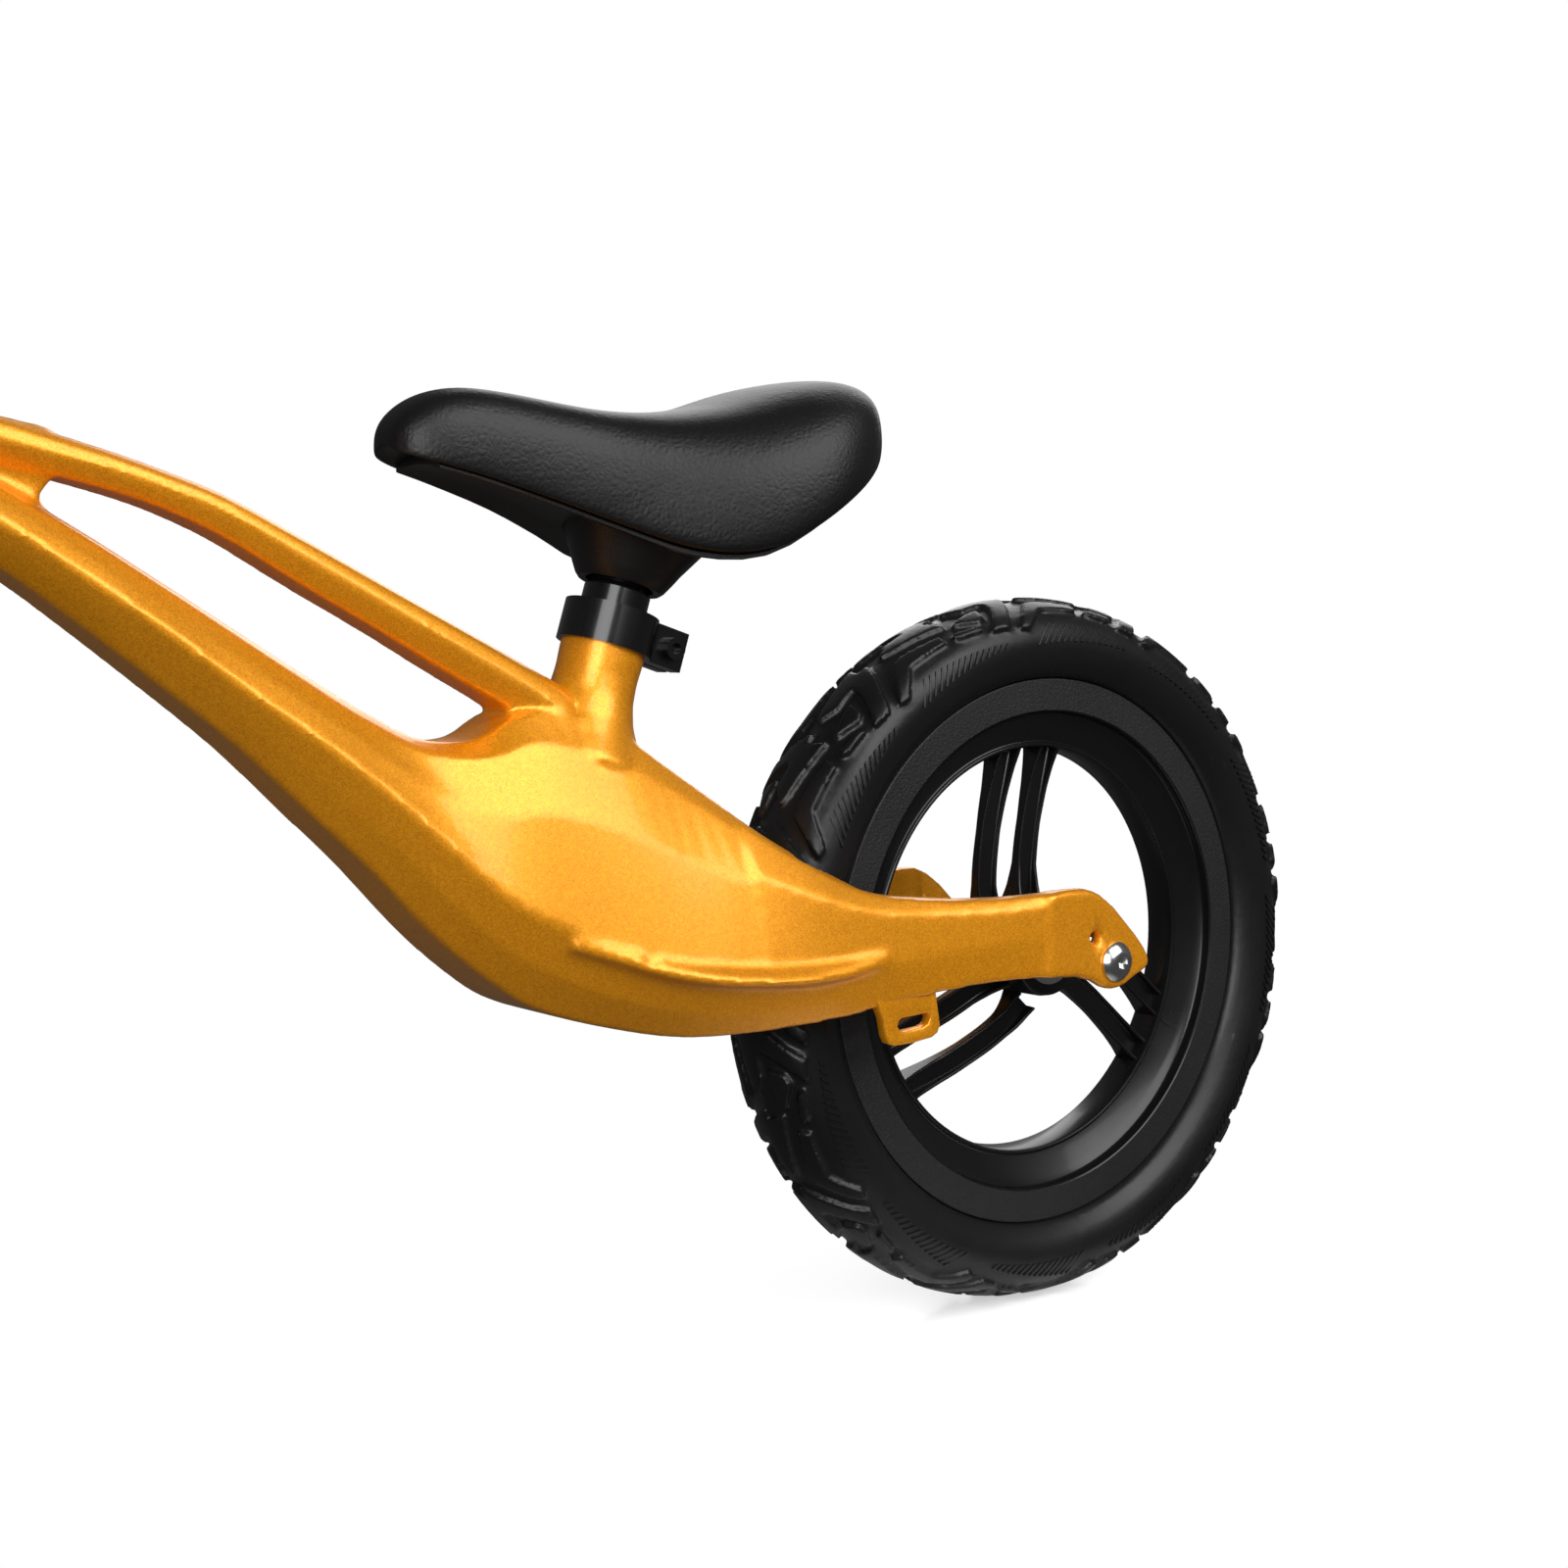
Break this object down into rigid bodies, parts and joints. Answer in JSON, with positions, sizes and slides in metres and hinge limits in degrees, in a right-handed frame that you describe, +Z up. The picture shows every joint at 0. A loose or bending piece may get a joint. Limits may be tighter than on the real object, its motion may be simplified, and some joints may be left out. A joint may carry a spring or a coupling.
{
  "type": "balance bike",
  "caption": "Child's balance bike with a cast skeletal frame, foam-tyred spoked wheels, sliding saddle post and turning handlebar.",
  "frame": {"origin": "on the ground midway between the two axles, in the bike's middle plane", "axes": "+X forward to the front wheel, +Y to the rider's left, +Z up"},
  "size_m": [0.9, 0.42, 0.5935],
  "materials": {
    "painted_casting": "gloss",
    "black_plastic": "satin",
    "tyre_foam": "satin",
    "grip_rubber": "matte",
    "saddle_leather": "satin",
    "black_alloy": "satin",
    "black_metal": "satin",
    "steel": "satin"
  },
  "bodies": {
    "frame_body": {"frame": "painted_casting", "headset_lower": "black_metal", "headset_upper": "black_metal", "seat_clamp": "black_alloy", "seat_clamp_bolt": "black_metal", "seat_clamp_nut": "black_metal", "rear_axle": "steel", "rear_spacer_left": "steel", "rear_spacer_right": "steel", "rear_axle_bolt_left": "steel", "rear_axle_bolt_right": "steel"},
    "steering_body": {"fork": "painted_casting", "steerer_tube": "steel", "headset_cap": "black_metal", "handlebar_clamp": "black_alloy", "handlebar_clamp_bolt": "black_metal", "handlebar_clamp_nut": "black_metal", "front_axle": "steel", "front_spacer_left": "steel", "front_spacer_right": "steel", "front_axle_bolt_left": "steel", "front_axle_bolt_right": "steel"},
    "handlebar_body": {"handlebar": "black_alloy", "grip_left": "grip_rubber", "grip_right": "grip_rubber"},
    "front_wheel_body": {"front_tyre": "tyre_foam", "front_rim": "black_plastic", "front_bearing_left": "steel", "front_bearing_right": "steel", "front_hub_sleeve": "steel"},
    "rear_wheel_body": {"rear_tyre": "tyre_foam", "rear_rim": "black_plastic", "rear_bearing_left": "steel", "rear_bearing_right": "steel", "rear_hub_sleeve": "steel"},
    "seat_body": {"seat_post": "black_alloy", "saddle_screw_1": "steel", "saddle_screw_2": "steel", "saddle_screw_3": "steel", "saddle_screw_4": "steel", "saddle_skirt": "black_plastic", "saddle_base": "black_plastic", "saddle_cover": "saddle_leather"}
  },
  "joints": [
    {"name": "steering", "type": "hinge", "parent": "frame_body", "child": "steering_body", "pos_m": [0.211, 0, 0.35], "axis": [-0.3338, 0, 0.9426], "range_deg": [-90, 90]},
    {"name": "handlebar_height", "type": "slide", "parent": "steering_body", "child": "handlebar_body", "axis": [-0.3338, 0, 0.9426], "range_m": [-0.01, 0.05]},
    {"name": "front_wheel_spin", "type": "hinge", "parent": "steering_body", "child": "front_wheel_body", "pos_m": [0.3, 0, 0.15], "axis": [0, 1, 0], "continuous": true},
    {"name": "rear_wheel_spin", "type": "hinge", "parent": "frame_body", "child": "rear_wheel_body", "pos_m": [-0.3, 0, 0.15], "axis": [0, 1, 0], "continuous": true},
    {"name": "seat_height", "type": "slide", "parent": "frame_body", "child": "seat_body", "axis": [-0.2974, 0, 0.9548], "range_m": [0, 0.05]}
  ]
}
